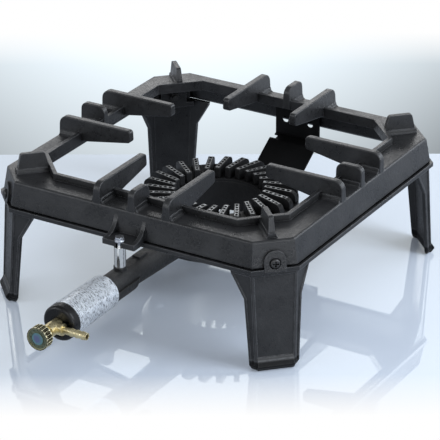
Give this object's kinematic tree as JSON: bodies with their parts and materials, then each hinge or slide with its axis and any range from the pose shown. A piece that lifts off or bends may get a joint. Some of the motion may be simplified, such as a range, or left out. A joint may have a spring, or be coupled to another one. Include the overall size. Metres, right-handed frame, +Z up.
{
  "type": "stock pot range",
  "caption": "Low square cast-iron gas range on splayed legs, with inward pot ribs, a ring burner of swirled ridges, a mixing tube with air shutter and a brass valve.",
  "frame": {"origin": "on the floor under the centre of the pot frame and of the ring burner", "axes": "+Z up; -Y is the front, where the mixing tube and the gas valve stick out; +X is to the right of a person who faces the valve"},
  "size_m": [0.4192, 0.6056, 0.1845],
  "materials": {
    "frame_iron": "satin black over fine sand casting",
    "leg_iron": "satin black over fine sand casting",
    "burner_iron": "satin black",
    "head_iron": "black with bare ground crowns",
    "black_screw": "painted over with the frame, worn",
    "zinc_steel": "zinc plated",
    "chrome_steel": "bright plated",
    "foil": "dull mottled foil",
    "shutter_paint": "satin black",
    "valve_brass": "turned brass",
    "knob_brass": "turned and knurled brass",
    "packing_rubber": "matte",
    "disc_plastic": "semi-gloss blue",
    "bracket_paint": "satin black"
  },
  "bodies": {
    "range": {"top_frame": "frame_iron", "leg_front_left": "leg_iron", "leg_front_right": "leg_iron", "leg_rear_left": "leg_iron", "leg_rear_right": "leg_iron", "leg_screws": "black_screw", "leg_washers": "black_screw", "leg_nuts": "black_screw", "burner_body": "burner_iron", "burner_head": "head_iron", "head_screws": "zinc_steel", "tube_sleeve": "foil", "valve_body": "valve_brass", "injector": "valve_brass", "hose_nipple": "valve_brass", "packing_ring": "packing_rubber", "gland_nut": "valve_brass", "front_spacer": "chrome_steel", "front_bolt": "zinc_steel", "rear_bracket": "bracket_paint", "bracket_bolts": "zinc_steel", "bracket_nuts": "zinc_steel"},
    "spindle": {"spindle": "valve_brass"},
    "knob": {"knob": "knob_brass", "knob_screw": "zinc_steel", "knob_disc": "disc_plastic"},
    "air_shutter": {"air_shutter": "shutter_paint"}
  },
  "joints": [
    {"name": "spindle_travel", "type": "slide", "parent": "range", "child": "spindle", "axis": [0, -1, 0], "range_m": [0, 0.0015]},
    {"name": "knob_turn", "type": "hinge", "parent": "spindle", "child": "knob", "pos_m": [0, -0.3905, 0.081], "axis": [0, -1, 0], "range_deg": [0, 540]},
    {"name": "air_shutter_turn", "type": "hinge", "parent": "range", "child": "air_shutter", "pos_m": [0, -0.3475, 0.081], "axis": [0, -1, 0], "range_deg": [0, 150]}
  ],
  "couplings": [
    {"joint": "knob_turn", "follows": "spindle_travel", "rad_per_m": 6283.2}
  ]
}
